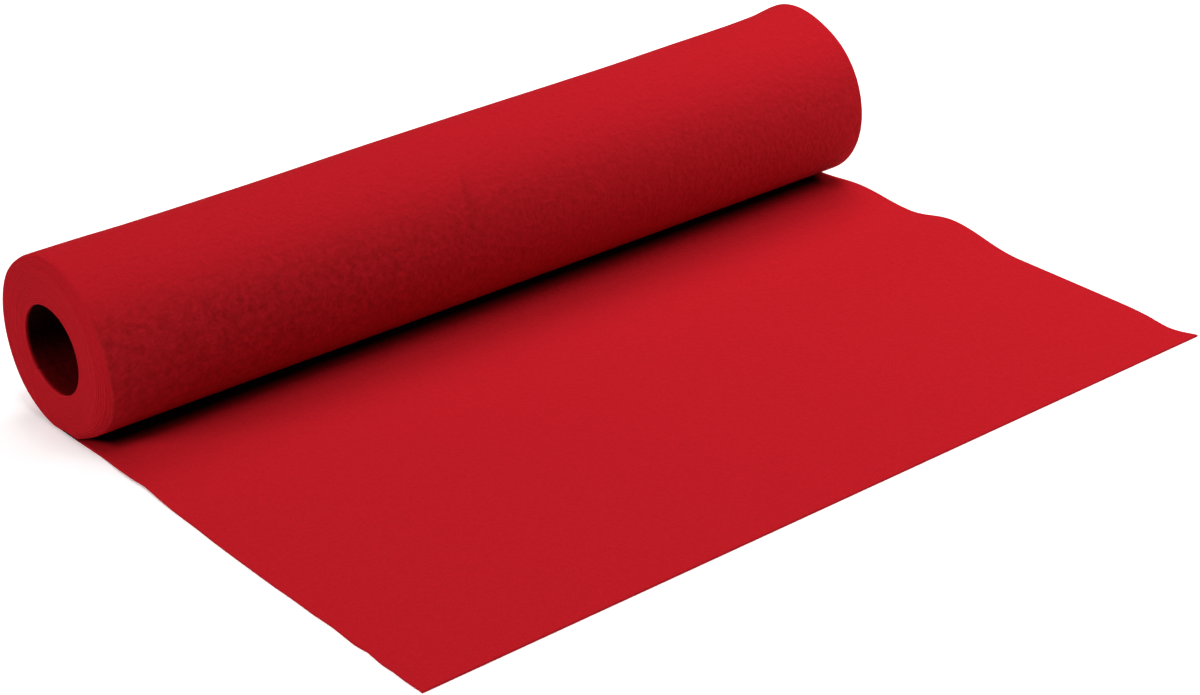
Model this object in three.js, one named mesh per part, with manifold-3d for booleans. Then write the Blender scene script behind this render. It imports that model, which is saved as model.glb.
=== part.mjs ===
// A roll of red craft felt with its loose end laid out flat in front of it: one piece of cloth, so one solid.
// Millimetres. +X runs along the roll's axis, the loose end runs out toward -Y, and +Z is up.
// The roll stands on a small flat that its own weight presses into it, and the group is centred over its base.

import * as THREE from "three";
import { mergeVertices } from "three/addons/utils/BufferGeometryUtils.js";
import Module from "manifold-3d";

const wasm = await Module();
wasm.setup();

// Driving dimensions
const clothWidth = 450;
const clothLength = 4914;
const feltThickness = 1.0; // where the felt lies loose
const turnPitch = 0.983; // from one turn to the next, where winding has squeezed the felt
const holeRadius = 20.5; // the roll is wound without a core
const looseReach = 268; // from below the roll's axis to the cut front edge
const footHalfAngle = THREE.MathUtils.degToRad(12); // the roll is flattened this far each side of its lowest line

// Worked out from them: the cloth that isn't laid out fills the ring between the hole and the outside
const woundLength = clothLength - looseReach;
const outerRadius = Math.sqrt(holeRadius ** 2 + (turnPitch * woundLength) / Math.PI);
const wall = outerRadius - holeRadius;
const footDepth = outerRadius * (1 - Math.cos(footHalfAngle));

// The roll isn't a true cylinder. Along it, swell is added all round, and lift only where the last turns
// have sprung open, on the upper back toward the far end.
const rollRows = [
  { along: 0, swell: -0.2, lift: 0 },
  { along: 2, swell: -0.2, lift: 0 },
  { along: 6, swell: -0.2, lift: 0 },
  { along: 20, swell: -0.2, lift: 0 },
  { along: 55, swell: -0.4, lift: 0 },
  { along: 110, swell: -0.3, lift: 0.1 },
  { along: 190, swell: 0.2, lift: 0.2 },
  { along: 270, swell: 0.4, lift: 0.3 },
  { along: 330, swell: 0.4, lift: 0.6 },
  { along: 370, swell: 0.4, lift: 1.4 },
  { along: 412, swell: 0.4, lift: 2.1 },
  { along: 434, swell: 0.4, lift: 3 },
  { along: 444, swell: 0.5, lift: 4.1 },
  { along: 450, swell: 0.6, lift: 4.4 },
];
const liftAngle = THREE.MathUtils.degToRad(152); // where the lift is greatest, from the foot round by the back
const liftHalfAngle = THREE.MathUtils.degToRad(56); // it has died away this far each side
const liftDepth = 5; // and this far into the roll

// The outer turns have slid toward the far end by this much, round from the foot by the back
const slideRows = [
  { degrees: 0, slide: 2 },
  { degrees: 25, slide: 1 },
  { degrees: 55, slide: 0.2 },
  { degrees: 190, slide: 0.4 },
  { degrees: 270, slide: 1.5 },
  { degrees: 320, slide: 2.2 },
  { degrees: 360, slide: 2 },
];
const slideDepth = 5.5; // how far into the roll the slide reaches

// The near rim is pressed in on the front
const rim = {
  press: 2.4,
  width: 6,
  angle: THREE.MathUtils.degToRad(262),
  halfAngle: THREE.MathUtils.degToRad(85),
};
const rimDepths = [1, 2.5, slideDepth]; // rings of the end faces, measured in from the surface
const holeOffset = { back: 0.8, down: 0.6 }; // the weight of the upper turns draws the hole off the roll's middle
const turnSteps = 72; // facets round the roll
const spiralStep = 0.975; // the share of the turn after which the surface steps out again
const weldDistance = 1e-3;

// The loose end's steps, as distances from below the roll's axis, closer where it ripples
const looseSteps = [2, 8, 14, 22, 29, 36, 44, 52, 61, 72, 82, 92, 101, 109, 117, 127, 138, 150, 165, 195, 225];
const crossSteps = [0, 12, 40, 90, 160, 230, 290, 330, 362, 388, 408, 424, 436, 444]; // across the cloth

// How far each side edge of the loose end lies off the roll's end faces, toward the far end
const edgeRows = [
  { reach: 0, near: 2, far: 2 },
  { reach: 61, near: 1.8, far: 1.7 },
  { reach: 72, near: 1.8, far: 1.6 },
  { reach: 101, near: 0.6, far: 0.5 },
  { reach: 138, near: -0.5, far: -0.6 },
  { reach: 225, near: -0.6, far: -1 },
  { reach: 239, near: -0.8, far: -2 },
  { reach: 247, near: -0.9, far: -3.4 },
  { reach: 254, near: -1, far: -4.3 },
  { reach: 261, near: -0.9, far: -3.1 },
  { reach: looseReach, near: -0.7, far: -0.3 },
];

// Soft ripples where the cloth stands off the table, each dying away inward from its edge and to both sides
const ripples = [
  { edge: "far", reach: 44, height: 2.2, rollSide: 31, frontSide: 32, inward: 90 },
  { edge: "far", reach: 112, height: 5.4, rollSide: 34, frontSide: 44, inward: 130 },
  { edge: "near", reach: 58, height: 0.9, rollSide: 46, frontSide: 46, inward: 300 },
];

const smooth = (from, to, value) => THREE.MathUtils.smoothstep(value, from, to);

// A soft bump, 1 at the middle and 0 from halfWidth on
function bump(distance, halfWidth) {
  const share = Math.min(1, Math.abs(distance) / halfWidth);
  return 0.5 + 0.5 * Math.cos(Math.PI * share);
}

// A column of a table at a place between two of its rows
function between(rows, key, place, column) {
  const next = rows.findIndex((row) => row[key] >= place);
  if (next <= 0) return rows[next === 0 ? 0 : rows.length - 1][column];
  const a = rows[next - 1];
  const b = rows[next];
  return THREE.MathUtils.mapLinear(place, a[key], b[key], a[column], b[column]);
}

// Where a point of the wound cloth lies: radius and along are those of an even roll, and angle starts at the foot
// and goes round by the back. Near the surface the roll's own unevenness is added.
function woundPoint(radius, along, angle) {
  const depth = outerRadius - radius;
  const outward = 1 - depth / wall;
  const swell = between(rollRows, "along", along, "swell") * outward;
  const sprung = bump(angle - liftAngle, liftHalfAngle) * Math.max(0, 1 - depth / liftDepth);
  const lift = between(rollRows, "along", along, "lift") * sprung;
  const pressed = bump(angle - rim.angle, rim.halfAngle) * Math.max(0, 1 - along / rim.width) ** 2;
  const slide = between(slideRows, "degrees", THREE.MathUtils.radToDeg(angle), "slide");
  // The surface is a spiral: it comes in by one pitch a turn, and steps out again over the loose end
  const turned = angle / (2 * Math.PI);
  const spiral = turnPitch * (turned - smooth(spiralStep, 1, turned));
  const r = radius + swell + lift - (rim.press * pressed + spiral) * outward;
  const axisHeight = outerRadius + swell - footDepth;
  return new THREE.Vector3(
    along + slide * Math.max(0, 1 - depth / slideDepth) ** 2,
    r * Math.sin(angle) + holeOffset.back * (1 - outward),
    Math.max(0, axisHeight - r * Math.cos(angle) - holeOffset.down * (1 - outward)),
  );
}

// The roll: its own section, half of it cut along the axis, turned about the axis and then made uneven
function rollGeometry() {
  const ends = rimDepths.map((depth) => outerRadius - depth);
  const section = [
    ...rollRows.map((row) => new THREE.Vector2(outerRadius, row.along)),
    ...ends.map((radius) => new THREE.Vector2(radius, clothWidth)),
    new THREE.Vector2(holeRadius, clothWidth),
    new THREE.Vector2(holeRadius, 0),
    ...ends.toReversed().map((radius) => new THREE.Vector2(radius, 0)),
  ];
  section.push(section[0].clone());
  const geometry = new THREE.LatheGeometry(section, turnSteps);
  const position = geometry.getAttribute("position");
  for (let i = 0; i < position.count; i++) {
    const radius = Math.hypot(position.getX(i), position.getZ(i));
    const step = Math.floor(i / section.length) % turnSteps;
    const point = woundPoint(radius, position.getY(i), (2 * Math.PI * step) / turnSteps);
    position.setXYZ(i, point.x, point.y, point.z);
  }
  return geometry;
}

// Where a point of the loose end lies, from its place across the cloth and its distance from below the axis
function loosePoint(across, reach, level) {
  const stand = ripples.reduce((sum, ripple) => {
    const inward = ripple.edge === "far" ? clothWidth - across : across;
    const side = reach < ripple.reach ? ripple.rollSide : ripple.frontSide;
    return sum + ripple.height * bump(reach - ripple.reach, side) * bump(inward, ripple.inward);
  }, 0);
  const near = between(edgeRows, "reach", reach, "near");
  const far = between(edgeRows, "reach", reach, "far");
  const along = across + THREE.MathUtils.lerp(near, far, across / clothWidth);
  return new THREE.Vector3(along, -reach, stand + level * feltThickness);
}

// The loose end: a flat slab with one cell for each step along and across it, moved to where the cloth lies
function looseGeometry() {
  const lastRows = edgeRows.map((row) => row.reach).filter((reach) => reach > looseSteps.at(-1));
  const reaches = [...looseSteps, ...lastRows];
  const across = [...crossSteps, clothWidth];
  const geometry = new THREE.BoxGeometry(1, 1, 1, across.length - 1, reaches.length - 1, 1);
  const position = geometry.getAttribute("position");
  for (let i = 0; i < position.count; i++) {
    const column = Math.round((position.getX(i) + 0.5) * (across.length - 1));
    const row = Math.round((0.5 - position.getY(i)) * (reaches.length - 1));
    const point = loosePoint(across[column], reaches[row], position.getZ(i) + 0.5);
    position.setXYZ(i, point.x, point.y, point.z);
  }
  return geometry;
}

// A closed geometry as a solid that can be joined to another
function solidOf(geometry) {
  geometry.deleteAttribute("normal");
  geometry.deleteAttribute("uv");
  const merged = mergeVertices(geometry, weldDistance);
  return new wasm.Manifold(
    new wasm.Mesh({
      numProp: 3,
      vertProperties: merged.getAttribute("position").array,
      triVerts: new Uint32Array(merged.index.array),
    }),
  );
}

function geometryOf(solid) {
  const mesh = solid.getMesh();
  const geometry = new THREE.BufferGeometry();
  geometry.setAttribute("position", new THREE.BufferAttribute(mesh.vertProperties, 3));
  geometry.setIndex(new THREE.BufferAttribute(mesh.triVerts, 1));
  geometry.computeVertexNormals();
  return geometry;
}

const felt = new THREE.Mesh(
  geometryOf(solidOf(rollGeometry()).add(solidOf(looseGeometry()))),
  new THREE.MeshStandardMaterial({ color: 0xc51f28, roughness: 0.95, metalness: 0 }),
);
felt.name = "felt";

const rollOfFelt = new THREE.Group();
rollOfFelt.add(felt);

// The group's origin is the middle of its base
const middle = new THREE.Box3().setFromObject(felt).getCenter(new THREE.Vector3());
felt.position.set(-middle.x, -middle.y, 0);

export default rollOfFelt;
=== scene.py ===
# A roll of red craft felt with its loose end laid out flat, built as one continuous strip of cloth.
# The cloth's own sizes are in millimetres, and become metres as they go into the mesh.

import math

import bpy
import numpy as np
from mathutils import Matrix, Vector


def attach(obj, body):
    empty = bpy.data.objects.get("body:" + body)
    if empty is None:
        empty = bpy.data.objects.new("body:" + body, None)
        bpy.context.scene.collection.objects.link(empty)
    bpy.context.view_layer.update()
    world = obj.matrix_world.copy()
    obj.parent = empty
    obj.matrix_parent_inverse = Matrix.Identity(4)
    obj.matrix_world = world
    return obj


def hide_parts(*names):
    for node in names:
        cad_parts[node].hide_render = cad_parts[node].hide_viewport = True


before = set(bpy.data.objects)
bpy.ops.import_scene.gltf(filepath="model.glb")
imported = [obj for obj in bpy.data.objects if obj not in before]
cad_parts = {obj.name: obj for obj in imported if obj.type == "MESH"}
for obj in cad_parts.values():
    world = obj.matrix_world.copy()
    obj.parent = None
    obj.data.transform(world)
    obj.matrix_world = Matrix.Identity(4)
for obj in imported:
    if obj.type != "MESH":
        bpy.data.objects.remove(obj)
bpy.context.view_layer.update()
print("the part's frame is loaded")

millimetre = 0.001
fullTurn = 2 * math.pi

# The strip of felt. Angles round the roll start at its foot and go up the back, over the top and down the
# front.
cloth = {
    "name": "roll_of_felt",
    "width": 450,
    "length": 4914,
    "thickness": 1.0,  # where it lies loose
    "woundThickness": 0.93,  # where winding squeezes it
    "freed": (9, 20),  # how far out from below the roll it comes back to its loose thickness, from and to
    "outerRadius": 43.29,
    "holeRadius": 20.8,  # on average: the wall of the hole is the spiral's own inner turn
    "holeWiden": 1.6,  # and it is this much wider to each side than it is high
    "turns": 23 + 45 / 360,
    "looseReach": 268,  # from below the roll's axis to the cut front edge
    "footHalfAngle": math.radians(12),  # the roll is flattened this far each side of its lowest line
    "footEase": 0.3,  # how gently the flat runs into the round
    "holeBack": 0.15,  # the weight of the upper turns draws the hole off the roll's middle
    "holeDown": 0.9,
    "middle": (225.6, -112.178, 0),  # the middle of the base, from the near end of the roll's lowest line
    "wander": 0.12,  # how far a buried turn lies out of line with its neighbours
    "wanderStep": 2.2,  # how soon that drifts, as an angle
    "wanderStart": 3,  # and how gently it begins under the last turn
    "seed": 5,
}
wall = cloth["outerRadius"] - cloth["holeRadius"]
footDepth = cloth["outerRadius"] * (1 - math.cos(cloth["footHalfAngle"]))
turnPitch = (wall - cloth["woundThickness"]) / (cloth["turns"] - 0.5)
lastAngle = fullTurn * cloth["turns"]
innerRadius = cloth["outerRadius"] - turnPitch * cloth["turns"]

# The unevenness of the roll along its axis: swell is all round it
swellRows = [(0, -0.2), (20, -0.2), (55, -0.4), (110, -0.3), (190, 0.2), (270, 0.4), (434, 0.4), (450, 0.6)]
# and lift is where the last turns have sprung open, on the upper back toward the far end
liftRows = [(0, 0), (55, 0), (190, 0.2), (270, 0.3), (330, 0.6), (370, 1.4), (412, 2.1), (434, 3), (450, 4.4)]
lift = {
    "angle": math.radians(152),
    "halfAngle": math.radians(56),
    "depth": 5,  # how far into the roll the turns have opened
}

# How far the outer turns have slid toward the far end, by degrees round the roll
slideRows = [(0, 2), (25, 1), (55, 0.2), (190, 0.3), (255, 0.6), (292, 1.5), (320, 2.2), (360, 2)]
slideDepth = 4.8  # how far into the roll the slide reaches

# At the near end the edges of the outer turns stand back, on top and on the front, by degrees round the roll
rimRows = [(0, 0), (120, 0), (175, 2), (222, 1.9), (248, 2.6), (268, 3.3), (291, 4.3), (304, 4.6), (325, 3.5),
           (348, 0), (360, 0)]
rim = {
    "depth": 7,  # how far into the roll they stand back
    "depthFade": 1.5,  # and how sharply that dies away
    "reach": 45,  # how far along the roll the cloth is drawn with them
    "round": 1.5,  # the rim itself is rounded over this width
    "press": 0.9,  # by this much
    "pressFull": 1.5,  # or by less where the edges stand back less than this
}

# A slight fold that runs part of the way round the last turn: where its crest lies along the roll, by degrees
foldRows = [(200, 203), (212, 202), (223, 199.8), (236, 197.2), (248, 196.8), (258, 198), (270, 201),
            (285, 205)]
fold = {
    "height": 0.6,
    "nearSide": 20,  # how wide its near side is
    "farSide": 4.5,
    "angle": math.radians(236),
    "halfAngle": math.radians(42),
}

# How far each side edge of the loose end lies off the roll's end faces, by distance from below the axis
nearEdgeRows = [(0, 2), (28, 2.3), (46, 1.6), (56, 1.5), (65, 2.1), (80, 1.25), (90, 0.85), (100, 0.7),
                (110, 0.5), (120, 0.05), (132, -0.25), (148, -0.5), (168, -0.7), (180, -0.55), (196, -0.7),
                (208, -0.4), (216, -0.75), (225, -1.15), (232, -0.4), (238, -0.95), (244, -1.3), (249, -0.95),
                (257, -1.25), (268, -1)]
farEdgeRows = [(0, 2), (61, 1.7), (72, 1.6), (101, 0.5), (138, -0.6), (225, -1), (239, -2), (247, -3.4),
               (254, -4.3), (261, -3.1), (268, -0.3)]

# Soft ripples where the loose end stands off the floor
ripples = [
    {"edge": "far", "reach": 44, "height": 2.2, "rollSide": 31, "frontSide": 32, "inward": 90},
    {"edge": "far", "reach": 112, "height": 5.4, "rollSide": 34, "frontSide": 44, "inward": 130},
    {"edge": "near", "reach": 58, "height": 0.9, "rollSide": 46, "frontSide": 46, "inward": 300},
]

# A cut edge is rounded over this much of the cloth. Its section goes from one face of the felt to the other:
# how far in, and how high, from -1 to 1
cutDepth = 0.14
cutSection = [(0.03, -0.86), (0, 0), (0.03, 0.86)]
# and the cut at each end of the strip goes from the cut to the full thickness: how far in, and how high
cutEnd = [(0, 0.6), (0.04, 0.88), (cutDepth, 1)]

# How finely the strip is divided: in steps along it, and in places across it
fineness = {
    "lastTurn": 120,  # steps round the turn that shows
    "buriedTurn": 56,  # and round those under it
    "fineEnd": fullTurn + 0.3,  # where the one gives way to the other, out of sight under the last turn
    "loose": 3.5,  # millimetres along the loose end
    "near": [cutDepth, 0.6, 1.2, 1.8, 2.4, 3, 3.7, 4.6, 6, 9, 13, 18, 24],  # in from the near cut edge
    "plain": (30, cloth["width"] - 26, 5.5),  # then from, to and step
    "besideFold": (174, 192, 3.6),
    "fold": (192, 212, 1.1),
    "foldMargin": 2,  # no plain place comes nearer than this to the fold's own
    "fromFar": [22, 16, 11, 7, 4, 2, 0.8, cutDepth],  # in from the far cut edge
    # The buried turns have only these places
    "buried": [cutDepth, 1.8, 3.7, 6, 24, 60, 110, 150, 190, 230, 270, 330, 370, 412, 434, 446,
               cloth["width"] - cutDepth],
}


# A smooth curve through a table's rows that never overshoots them, and is level at both ends
def curve(rows, places):
    x, y = np.array(rows, float).T
    step = np.diff(x)
    slope = np.diff(y) / step
    tangent = np.zeros(len(x))
    for i in range(1, len(x) - 1):
        if slope[i - 1] * slope[i] > 0:
            left = 2 * step[i] + step[i - 1]
            right = step[i] + 2 * step[i - 1]
            tangent[i] = (left + right) / (left / slope[i - 1] + right / slope[i])
    places = np.clip(places, x[0], x[-1])
    k = np.clip(np.searchsorted(x, places, side="right") - 1, 0, len(step) - 1)
    t = (places - x[k]) / step[k]
    start = y[k] * (1 + 2 * t) * (1 - t) ** 2 + tangent[k] * step[k] * t * (1 - t) ** 2
    end = y[k + 1] * t * t * (3 - 2 * t) - tangent[k + 1] * step[k] * t * t * (1 - t)
    return start + end


# A soft bump, 1 at the middle and 0 from halfWidth on
def bump(distance, halfWidth):
    return 0.5 + 0.5 * np.cos(np.pi * np.minimum(1, np.abs(distance) / halfWidth))


# A soft step, 0 up to start and 1 from end on
def ease(start, end, value):
    t = np.clip((value - start) / (end - start), 0, 1)
    return t * t * (3 - 2 * t)


# Buried turns lie a little out of line, by an amount that drifts as the strip is wound
chance = np.random.default_rng(cloth["seed"])
wanderKnots = np.arange(0, lastAngle + 2 * cloth["wanderStep"], cloth["wanderStep"])
wanderRows = list(zip(wanderKnots, chance.uniform(-cloth["wander"], cloth["wander"], len(wanderKnots))))


# Where points of the wound cloth lie. wound is the angle rolled up from the foot inward, and level is 1 on
# the cloth's outer face and -1 on its inner face.
def woundPoints(across, wound, level):
    angle = wound % fullTurn
    degrees = math.degrees(angle)
    turnDepth = turnPitch * wound / fullTurn
    depth = turnDepth + cloth["woundThickness"] * (1 - level) / 2
    outward = 1 - depth / wall
    swellHere = curve(swellRows, across)
    swell = swellHere * outward
    widened = cloth["holeWiden"] * (1 - outward) * math.sin(angle) ** 2
    sprung = bump(angle - lift["angle"], lift["halfAngle"]) * max(0, 1 - turnDepth / lift["depth"])
    standBack = curve(rimRows, degrees)
    pressed = rim["press"] * min(1, standBack / rim["pressFull"])
    pressed = pressed * np.maximum(0, 1 - across / rim["round"]) ** 2
    standBack = standBack * max(0, 1 - turnDepth / rim["depth"]) ** rim["depthFade"]
    standBack = standBack * np.maximum(0, 1 - across / rim["reach"]) ** 2
    fromFold = across - curve(foldRows, degrees)
    foldSide = np.where(fromFold < 0, fold["nearSide"], fold["farSide"])
    folded = bump(fromFold, foldSide) * bump(wound - fold["angle"], fold["halfAngle"])
    radius = cloth["outerRadius"] - depth + swell + widened - pressed * outward
    radius = radius + curve(liftRows, across) * sprung + fold["height"] * folded
    # The foot rests flat on the floor, and the flat dies away toward the hole
    surface = (cloth["outerRadius"] + swellHere) * (1 - np.cos(angle)) - footDepth
    soft = cloth["footEase"]
    rested = np.where(surface > soft, surface, np.maximum(0, surface + soft) ** 2 / (4 * soft))
    height = cloth["outerRadius"] + swell - footDepth - radius * np.cos(angle)
    height = height + (rested - surface) * outward - cloth["holeDown"] * (1 - outward)
    slide = curve(slideRows, degrees) * max(0, 1 - max(0, turnDepth - turnPitch) / slideDepth) ** 2
    wander = curve(wanderRows, wound) * ease(fullTurn, fullTurn + cloth["wanderStart"], wound)
    back = radius * np.sin(angle) + cloth["holeBack"] * (1 - outward)
    return np.stack([across + standBack + slide + wander, back, height], axis=-1)


# Where points of the loose end lie, by their distance from below the roll's axis
def loosePoints(across, reach, level):
    stand = 0
    for ripple in ripples:
        inward = cloth["width"] - across if ripple["edge"] == "far" else across
        side = ripple["rollSide"] if reach < ripple["reach"] else ripple["frontSide"]
        height = ripple["height"] * bump(reach - ripple["reach"], side)
        stand = stand + height * bump(inward, ripple["inward"])
    squeezed = cloth["woundThickness"] * (1 - (footDepth + cloth["holeDown"]) / wall)
    thickness = squeezed + (cloth["thickness"] - squeezed) * ease(*cloth["freed"], reach)
    near = curve(nearEdgeRows, reach)
    far = curve(farEdgeRows, reach)
    along = across + near + (far - near) * across / cloth["width"]
    return np.stack([along, np.full(len(along), -reach), stand + thickness * (1 - level) / 2], axis=-1)


# Places across the cloth: closer at the cut edges, over the rounded rim and over the fold
foldPlaces = [*np.arange(*fineness["besideFold"]), *np.arange(*fineness["fold"])]
foldNear = foldPlaces[0] - fineness["foldMargin"]
foldFar = foldPlaces[-1] + fineness["foldMargin"]
plainPlaces = [place for place in np.arange(*fineness["plain"]) if not foldNear < place < foldFar]
farPlaces = [cloth["width"] - inset for inset in fineness["fromFar"]]
allPlaces = [*fineness["near"], *plainPlaces, *foldPlaces, *farPlaces, *fineness["buried"]]
finePlaces = sorted({round(float(place), 3) for place in allPlaces})


# The strip's section as a closed loop: its outer face, the far cut edge, its inner face and the near cut edge
def sectionOf(places):
    farCut = [(cloth["width"] - inset, -level) for inset, level in cutSection]
    section = [(place, 1) for place in places] + farCut
    section += [(place, -1) for place in reversed(places)] + cutSection
    return np.array(section, float).T


fineSection = sectionOf(finePlaces)
buriedSection = sectionOf(fineness["buried"])

# The strip's steps, from the cut front edge to the cut end inside the roll: the place, and how much of the
# thickness is left there
reach = cloth["looseReach"]
firstStep = 1.2  # the first full step in from the cut front edge
looseSteps = [(reach - inset, squeeze) for inset, squeeze in cutEnd]
loosePlaces = np.linspace(reach - firstStep, 0, round(reach / fineness["loose"]))[:-1]
looseSteps += [(place, 1) for place in loosePlaces]
fineAngles = np.arange(0, fineness["fineEnd"], fullTurn / fineness["lastTurn"])
buriedStep = fullTurn / fineness["buriedTurn"]
buriedAngles = np.arange(fineAngles[-1] + buriedStep, lastAngle - buriedStep / 2, buriedStep)
woundSteps = [(angle, 1) for angle in [*fineAngles, *buriedAngles]]
woundSteps += [(lastAngle - inset / innerRadius, squeeze) for inset, squeeze in reversed(cutEnd)]

points = []
flatPoints = []
loopSizes = []


# Adds one loop of corners round the strip, and where they lie on the flat cloth
def addLoop(across, places, along):
    points.append(places)
    flatPoints.append([(x, along) for x in across])
    loopSizes.append(len(across))


for place, squeeze in looseSteps:
    across, level = fineSection
    addLoop(across, loosePoints(across, place, level * squeeze), reach - place)
along = reach
previous = 0
for step, (angle, squeeze) in enumerate(woundSteps):
    across, level = fineSection if step < len(fineAngles) else buriedSection
    middleDepth = cloth["woundThickness"] / 2 + turnPitch * (angle + previous) / 2 / fullTurn
    along += (angle - previous) * (cloth["outerRadius"] - middleDepth)
    previous = angle
    addLoop(across, woundPoints(across, angle, level * squeeze), along)
print("the strip is", round(along), "mm long, in", len(loopSizes), "steps")

points = (np.concatenate(points) - np.array(cloth["middle"])) * millimetre
flatPoints = np.concatenate(flatPoints) * millimetre

# Faces: their corners, and 1 for a cut edge or 0 for a face of the cloth
faces = []
cutCount = len(cutSection)
faceWeight = 500  # a corner on one face of the cloth never matches one on the other
start = 0
for step, (size, nextSize) in enumerate(zip(loopSizes[:-1], loopSizes[1:])):
    nextStart = start + size
    sideCount = (size - 2 * cutCount) // 2
    isCutEnd = step < len(cutEnd) - 1 or step >= len(loopSizes) - len(cutEnd)
    if size == nextSize:
        for i in range(size):
            j = (i + 1) % size
            isFarCut = sideCount - 1 <= i < sideCount + cutCount
            isNearCut = i >= 2 * sideCount + cutCount - 1
            corners = (start + i, nextStart + i, nextStart + j, start + j)
            faces.append((corners, int(isCutEnd or isFarCut or isNearCut)))
    else:
        # The fine steps give way to the coarse ones: each coarse corner is also a fine one
        match = [int(np.argmin(abs(fineSection[0] - x) + faceWeight * abs(fineSection[1] - z)))
                 for x, z in buriedSection.T]
        for i in range(nextSize):
            j = (i + 1) % nextSize
            first = match[i]
            last = match[j] if j else match[j] + size
            middle = (first + last) // 2
            for k in range(first, last):
                corner = nextStart + (i if k < middle else j)
                faces.append(((start + k % size, corner, start + (k + 1) % size), 0))
            faces.append(((start + middle % size, nextStart + i, nextStart + j), 0))
    start = nextStart


# Closes one end of the strip, whose loop begins at start
def closeEnd(start, size, isFront):
    side = (size - 2 * cutCount) // 2
    outer = [start + i for i in range(side)]
    inner = [start + 2 * side + cutCount - 1 - i for i in range(side)]
    polygons = [(outer[i], outer[i + 1], inner[i + 1], inner[i]) for i in range(side - 1)]
    polygons.append((outer[-1], *range(outer[-1] + 1, inner[-1]), inner[-1]))
    polygons.append((outer[0], inner[0], *range(inner[0] + 1, start + size)))
    for polygon in polygons:
        faces.append((polygon if isFront else polygon[::-1], 1))


closeEnd(0, loopSizes[0], True)
closeEnd(start, loopSizes[-1], False)

mesh = bpy.data.meshes.new(cloth["name"])
mesh.from_pydata(points.tolist(), [], [corners for corners, isCut in faces])
mesh.polygons.foreach_set("material_index", [isCut for corners, isCut in faces])
mesh.polygons.foreach_set("use_smooth", [True] * len(faces))
clothMap = mesh.uv_layers.new(name="cloth")  # metres across and along the flat cloth
mapCorners = np.zeros(len(mesh.loops), int)
mesh.loops.foreach_get("vertex_index", mapCorners)
clothMap.data.foreach_set("uv", flatPoints[mapCorners].ravel())
mesh.update()
felt = bpy.data.objects.new(cloth["name"], mesh)
bpy.context.scene.collection.objects.link(felt)
print("the strip has", sum(len(corners) - 2 for corners, isCut in faces), "triangles")


# Gives a socket a link or a plain value
def feed(tree, socket, value):
    if isinstance(value, bpy.types.NodeSocket):
        tree.links.new(value, socket)
    else:
        socket.default_value = value


# Adds a node with its settings and the values of its inputs
def addNode(tree, kind, settings=None, **inputs):
    node = tree.nodes.new(kind)
    for name, value in (settings or {}).items():
        setattr(node, name, value)
    for name, value in inputs.items():
        feed(tree, node.inputs[name.replace("_", " ")], value)
    return node


# Does the same sum with two or more values in turn, such as adding or multiplying
def calculate(tree, operation, result, *others):
    for value in others:
        node = addNode(tree, "ShaderNodeMath", {"operation": operation})
        feed(tree, node.inputs[0], result)
        feed(tree, node.inputs[1], value)
        result = node.outputs[0]
    return result


# How far a value has risen from start to end, as a share from 0 to 1
def rise(tree, value, start, end):
    return addNode(tree, "ShaderNodeMapRange", {"interpolation_type": "SMOOTHSTEP"}, Value=value,
                   From_Min=start, From_Max=end).outputs[0]


def mixColours(tree, share, first, second):
    node = addNode(tree, "ShaderNodeMix", {"data_type": "RGBA"})
    for socket, value in zip((node.inputs[0], node.inputs[6], node.inputs[7]), (share, first, second)):
        feed(tree, socket, value)
    return node.outputs[2]


def addRamp(tree, value, spread, low, high):
    ramp = addNode(tree, "ShaderNodeValToRGB", Fac=value)
    for element, position, colour in zip(ramp.color_ramp.elements, spread, (low, high)):
        element.position = position
        element.color = colour
    return ramp.outputs["Color"]


def makeGroup(name, inputs, outputs):
    tree = bpy.data.node_groups.new(name, "ShaderNodeTree")
    for label in inputs:
        tree.interface.new_socket(label, in_out="INPUT", socket_type="NodeSocketFloat")
    for label in outputs:
        tree.interface.new_socket(label, in_out="OUTPUT", socket_type="NodeSocketFloat")
    return tree


pebblesPerBlotch = 0.85  # pebbles are a little wider than blotches


# Pressed fibres: soft blotches where the fibres lie thicker, the tangle of the fibres, and wider pebbles.
# Sizes are in metres. Relief is a height, and the others are masks, all about one half on average.
def makeFibreGroup():
    tree = makeGroup("pressed fibres", ["Blotch size", "Fibre size", "Blotch share"],
                     ["Relief", "Fibres", "Pebbles"])
    given = addNode(tree, "NodeGroupInput")
    place = addNode(tree, "ShaderNodeTexCoord").outputs["Object"]
    blotchScale = calculate(tree, "DIVIDE", 1.0, given.outputs["Blotch size"])
    fibreScale = calculate(tree, "DIVIDE", 1.0, given.outputs["Fibre size"])
    pebbleScale = calculate(tree, "MULTIPLY", pebblesPerBlotch, blotchScale)
    blotches = addNode(tree, "ShaderNodeTexNoise", Vector=place, Scale=blotchScale, Detail=2.0,
                       Roughness=0.55)
    fibres = addNode(tree, "ShaderNodeTexNoise", Vector=place, Scale=fibreScale, Detail=3.0, Roughness=0.6,
                     Distortion=1.2)
    pebbles = addNode(tree, "ShaderNodeTexNoise", Vector=place, Scale=pebbleScale, Detail=2.5, Roughness=0.65,
                      Distortion=0.4)
    share = given.outputs["Blotch share"]
    blotchPart = calculate(tree, "MULTIPLY", share, blotches.outputs[0])
    fibrePart = calculate(tree, "MULTIPLY", calculate(tree, "SUBTRACT", 1.0, share), fibres.outputs[0])
    addNode(tree, "NodeGroupOutput", Relief=calculate(tree, "ADD", blotchPart, fibrePart),
            Fibres=fibres.outputs[0], Pebbles=pebbles.outputs[0])
    return tree


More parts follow.
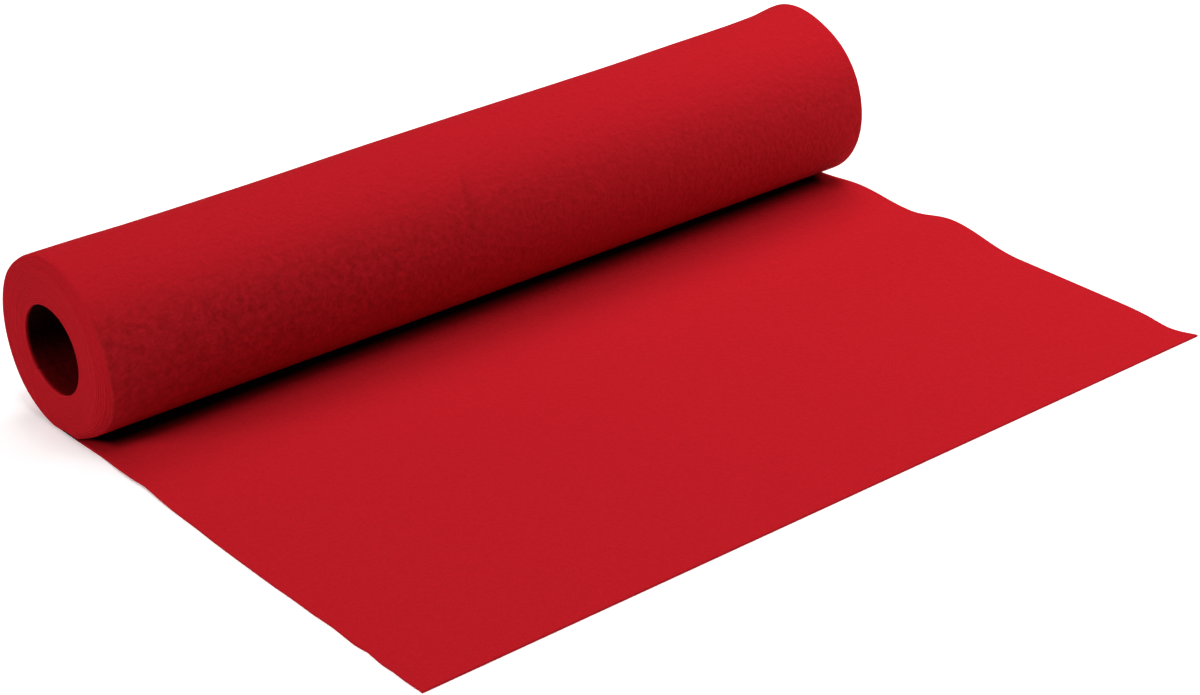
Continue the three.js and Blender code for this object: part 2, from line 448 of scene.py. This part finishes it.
# Areas of the cloth where shade is painted into its colour, in metres across and along its "cloth" map. A
# pair is where a change starts and where it is complete.
lowestLine = cloth["looseReach"] * millimetre
clothEnd = flatPoints[-1][1]
holeStart = clothEnd - fullTurn * innerRadius * millimetre - 0.0015  # a little under the last inner turn
crest = {"across": 0.1972, "along": 0.452, "bend": 10}  # the middle of the fold's crest, and how it curves
areas = {
    "nip": (lowestLine - 0.031, lowestLine - 0.018),  # painted deep shade sets in under the roll's front
    "nipBack": (lowestLine + 0.004, lowestLine),
    "taper": 0.016,  # it is that much narrower at the roll's two ends
    "nearTaper": 0.0115,  # over this much of the cloth's width
    "farTaper": 0.012,
    "nearWiden": 0.0025,  # and that much wider over the near part of the roll
    "nearPart": (0.15, 0.02),
    "hole": (holeStart, holeStart + 0.001),  # painted deep shade also fills the hole
    "rim": 0.002,  # and fades out over this much at its mouths
    "holeFloor": (clothEnd - 0.048, clothEnd - 0.034),  # the lowest part of its wall is painted a little lighter, where light gets into the hole
    "holeFloorEnd": (holeStart + 0.0165, holeStart),
    "cutEnd": (clothEnd, clothEnd - 0.0004),  # except for the cut end of the cloth
    "front": (0.428, 0.456),  # the roll's front is painted darker and more pebbly, as painted shade
    "frontEnd": (0.522, 0.484),
    "nearFront": (0.3, 0.06),  # most of all toward the near end
    "farShare": 0.5,  # and by this share at the far end
    "foldSide": (-0.0005, 0.002),  # painted shade lies along the far side of the fold
    "foldSideEnd": (0.008, 0.002),
    "foldStart": (0.424, 0.44),
    "foldEnd": (0.472, 0.452),
}


def makePlaceGroup():
    tree = makeGroup("painted shade on the cloth", ["Fold share", "Pebbled share"],
                     ["Deep shade", "Hole floor", "Pebbled"])
    given = addNode(tree, "NodeGroupInput")
    spot = addNode(tree, "ShaderNodeUVMap", {"uv_map": "cloth"}).outputs["UV"]
    spot = addNode(tree, "ShaderNodeSeparateXYZ", Vector=spot)
    across, along = spot.outputs["X"], spot.outputs["Y"]
    width = cloth["width"] * millimetre

    def fromEdges(near, far):
        fromNear = rise(tree, across, 0.0, near)
        return calculate(tree, "MULTIPLY", fromNear, rise(tree, across, width, width - far))

    inward = calculate(tree, "SUBTRACT", fromEdges(areas["nearTaper"], areas["farTaper"]), 1.0)
    tapered = calculate(tree, "MULTIPLY", inward, areas["taper"])
    widened = calculate(tree, "MULTIPLY", rise(tree, across, *areas["nearPart"]), areas["nearWiden"])
    # Painted deep shade on the cloth under the roll's front
    nip = rise(tree, calculate(tree, "ADD", along, tapered, widened), *areas["nip"])
    nip = calculate(tree, "MULTIPLY", nip, rise(tree, along, *areas["nipBack"]))

    # Painted deep shade in the hole, painted a little lighter over the lowest part of its wall
    inHole = rise(tree, along, *areas["hole"])
    hole = calculate(tree, "MULTIPLY", inHole, fromEdges(areas["rim"], areas["rim"]))
    holeFloor = calculate(tree, "ADD", rise(tree, along, *areas["holeFloorEnd"]),
                          rise(tree, along, *areas["holeFloor"]))
    holeFloor = calculate(tree, "MULTIPLY", hole, holeFloor, rise(tree, along, *areas["cutEnd"]))

    # Painted shade on the roll's front: darker, more pebbly colour, strongest toward the near end
    nearFront = calculate(tree, "MULTIPLY", rise(tree, across, *areas["nearFront"]), 1 - areas["farShare"])
    pebbledShade = calculate(tree, "MULTIPLY", calculate(tree, "ADD", nearFront, areas["farShare"]),
                        rise(tree, along, *areas["front"]), rise(tree, along, *areas["frontEnd"]),
                        given.outputs["Pebbled share"])

    # Painted shade along the far side of the fold's crest
    fromMiddle = calculate(tree, "SUBTRACT", along, crest["along"])
    bend = calculate(tree, "MULTIPLY", calculate(tree, "POWER", fromMiddle, 2.0), crest["bend"])
    fromCrest = calculate(tree, "SUBTRACT", across, crest["across"], bend)
    folded = calculate(tree, "MULTIPLY", rise(tree, fromCrest, *areas["foldSide"]),
                       rise(tree, fromCrest, *areas["foldSideEnd"]), rise(tree, along, *areas["foldStart"]),
                       rise(tree, along, *areas["foldEnd"]), given.outputs["Fold share"])
    addNode(tree, "NodeGroupOutput", Deep_shade=calculate(tree, "ADD", nip, hole, folded),
            Hole_floor=holeFloor, Pebbled=pebbledShade)
    return tree


fibreGroup = makeFibreGroup()
placeGroup = makePlaceGroup()

feltFinish = {
    "face of the felt": {
        "thin": (0.44, 0.0083, 0.0145, 1),  # the colour where the fibres lie thinnest
        "thick": (0.48, 0.0102, 0.0172, 1),
        # darker, more pebbly colours that paint shade onto the roll's front
        "shadedPebbleDark": (0.3, 0.0074, 0.0108, 1),
        "shadedPebbleLight": (0.48, 0.0116, 0.0184, 1),
        "pebbledShadeShare": 1.0,
        "foldShadeShare": 0.13,
        "blotchSize": 0.0028,
        "fibreSize": 0.0009,
        "blotchShare": 0.75,
        "relief": 0.0009,
    },
    "cut edge of the felt": {
        "thin": (0.42, 0.008, 0.014, 1),
        "thick": (0.47, 0.0098, 0.0168, 1),
        "shadedPebbleDark": (0.42, 0.008, 0.014, 1),
        "shadedPebbleLight": (0.47, 0.0098, 0.0168, 1),
        "pebbledShadeShare": 0.0,
        "foldShadeShare": 0.0,
        "blotchSize": 0.0025,
        "fibreSize": 0.0006,
        "blotchShare": 0.4,
        "relief": 0.0003,
    },
}
# The colours of painted deep shade, and of the lowest part of the hole's wall, painted a little lighter where
# light gets into the hole
feltShade = {
    "deep": (0.012, 0.0002, 0.0004, 1),
    "holeFloor": (0.12, 0.0012, 0.002, 1),
}
feltSurface = {
    "roughness": 1.0,
    "specular": 0.03,
    "fibreSpread": (0.36, 0.64),  # the part of each mask's range that its two colours cover
    "shadedPebbleSpread": (0.3, 0.7),
}


def makeFelt(name, finish):
    material = bpy.data.materials.new(name)
    material.use_nodes = True
    tree = material.node_tree
    shader = tree.nodes["Principled BSDF"]
    shader.inputs["Roughness"].default_value = feltSurface["roughness"]
    shader.inputs["Specular IOR Level"].default_value = feltSurface["specular"]
    fibres = addNode(tree, "ShaderNodeGroup", {"node_tree": fibreGroup}, Blotch_size=finish["blotchSize"],
                     Fibre_size=finish["fibreSize"], Blotch_share=finish["blotchShare"])
    spots = addNode(tree, "ShaderNodeGroup", {"node_tree": placeGroup}, Fold_share=finish["foldShadeShare"],
                    Pebbled_share=finish["pebbledShadeShare"])
    plain = addRamp(tree, fibres.outputs["Fibres"], feltSurface["fibreSpread"], finish["thin"],
                    finish["thick"])
    pebbledShade = addRamp(tree, fibres.outputs["Pebbles"], feltSurface["shadedPebbleSpread"], finish["shadedPebbleDark"],
                      finish["shadedPebbleLight"])
    # The roll's front takes the colours of its painted shade
    colour = mixColours(tree, spots.outputs["Pebbled"], plain, pebbledShade)
    # Painted shade: deep shade under the roll's front, in the hole and along the fold, lighter on the hole's
    # floor
    shaded = mixColours(tree, spots.outputs["Hole floor"], feltShade["deep"], feltShade["holeFloor"])
    colour = mixColours(tree, spots.outputs["Deep shade"], colour, shaded)
    feed(tree, shader.inputs["Base Color"], colour)
    relief = addNode(tree, "ShaderNodeBump", Strength=1.0, Distance=finish["relief"],
                     Height=fibres.outputs["Relief"])
    feed(tree, shader.inputs["Normal"], relief.outputs["Normal"])
    return material


for name, finish in feltFinish.items():
    mesh.materials.append(makeFelt(name, finish))
print("the felt has its finish")

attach(felt, "root")
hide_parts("felt")

# The floor is one pale sheet, and the room round it is as pale
room = {
    "floorColour": (0.97, 0.97, 0.97, 1),
    "floorGlow": 0.08,
    "floorGlowSeen": 0.3,  # to the camera, so that the shadow of the roll is as good as lost in the white
    "floorRoughness": 0.9,
    "floorSpecular": 0.1,
    "floorSize": 14,
    "floorDrop": 0.00005,
    "skyColour": (1, 1, 1, 1),
    "skyStrength": 0.02,
}
floorMesh = bpy.data.meshes.new("floor")
half = room["floorSize"] / 2
floorCorners = [(-half, -half, 0), (half, -half, 0), (half, half, 0), (-half, half, 0)]
floorMesh.from_pydata(floorCorners, [], [(0, 1, 2, 3)])
floor = bpy.data.objects.new("floor", floorMesh)
floor.location.z = -room["floorDrop"]
bpy.context.scene.collection.objects.link(floor)
floorMaterial = bpy.data.materials.new("pale floor")
floorMaterial.use_nodes = True
floorTree = floorMaterial.node_tree
floorShader = floorTree.nodes["Principled BSDF"]
floorShader.inputs["Base Color"].default_value = room["floorColour"]
floorShader.inputs["Emission Color"].default_value = room["floorColour"]
floorShader.inputs["Roughness"].default_value = room["floorRoughness"]
floorShader.inputs["Specular IOR Level"].default_value = room["floorSpecular"]
seen = addNode(floorTree, "ShaderNodeLightPath").outputs["Is Camera Ray"]
glow = calculate(floorTree, "MULTIPLY", seen, room["floorGlowSeen"] - room["floorGlow"])
glow = calculate(floorTree, "ADD", glow, room["floorGlow"])
feed(floorTree, floorShader.inputs["Emission Strength"], glow)
floorMesh.materials.append(floorMaterial)

world = bpy.data.worlds.new("pale room")
bpy.context.scene.world = world
world.use_nodes = True
sky = world.node_tree.nodes["Background"]
sky.inputs["Color"].default_value = room["skyColour"]
sky.inputs["Strength"].default_value = room["skyStrength"]

# Far lamps give the same light everywhere: where from, how wide in degrees and how strong
farLamps = [
    {"name": "overhead lamp", "from": (0, -0.25, 1), "spread": 28, "strength": 1.27},
    {"name": "lamp on the near side", "from": (-0.87, 0.1, 0.5), "spread": 24, "strength": 1.43},
    {"name": "lamp behind", "from": (0.35, 0.35, 0.87), "spread": 32, "strength": 0.64},
]
# and near lamps light the far end of the roll more than the near end
nearLamps = [
    {"name": "low lamp on the far side", "place": (0.9, -0.5, 0.5), "size": 0.6, "power": 4.2},
    {"name": "high lamp on the far side", "place": (0.7, 0.3, 0.9), "size": 0.6, "power": 4.4},
]
nearAim = (0, 0, 0.03)  # on the roll's middle


def addLamp(name, kind, place, aim):
    lamp = bpy.data.lights.new(name, kind)
    lampObject = bpy.data.objects.new(name, lamp)
    lampObject.location = place
    lampObject.rotation_mode = "QUATERNION"
    lampObject.rotation_quaternion = (Vector(aim) - Vector(place)).to_track_quat("-Z", "Y")
    bpy.context.scene.collection.objects.link(lampObject)
    return lamp


for given in farLamps:
    lamp = addLamp(given["name"], "SUN", given["from"], (0, 0, 0))
    lamp.angle = math.radians(given["spread"])
    lamp.energy = given["strength"]
for given in nearLamps:
    lamp = addLamp(given["name"], "AREA", given["place"], nearAim)
    lamp.size = given["size"]
    lamp.energy = given["power"]

# The camera stands to the near left and looks down over the near end
view = {
    "place": (-0.729984, -0.873347, 0.588769),
    "turn": math.radians(39.5323),
    "dip": math.radians(26.9428),
    "roll": math.radians(0.8278),
    "lens": 83.61,
    "sensor": 36,
    "nearest": 0.05,
    "farthest": 50,
}
camera = bpy.data.objects.new("camera", bpy.data.cameras.new("camera"))
camera.data.lens = view["lens"]
camera.data.sensor_width = view["sensor"]
camera.data.clip_start = view["nearest"]
camera.data.clip_end = view["farthest"]
camera.matrix_world = (
    Matrix.Translation(view["place"])
    @ Matrix.Rotation(-view["turn"], 4, "Z")
    @ Matrix.Rotation(math.pi / 2 - view["dip"], 4, "X")
    @ Matrix.Rotation(-view["roll"], 4, "Z")
)
bpy.context.scene.collection.objects.link(camera)
bpy.context.scene.camera = camera
bpy.context.scene.view_settings.view_transform = "Standard"
print("the room, the lamps and the camera are in place")
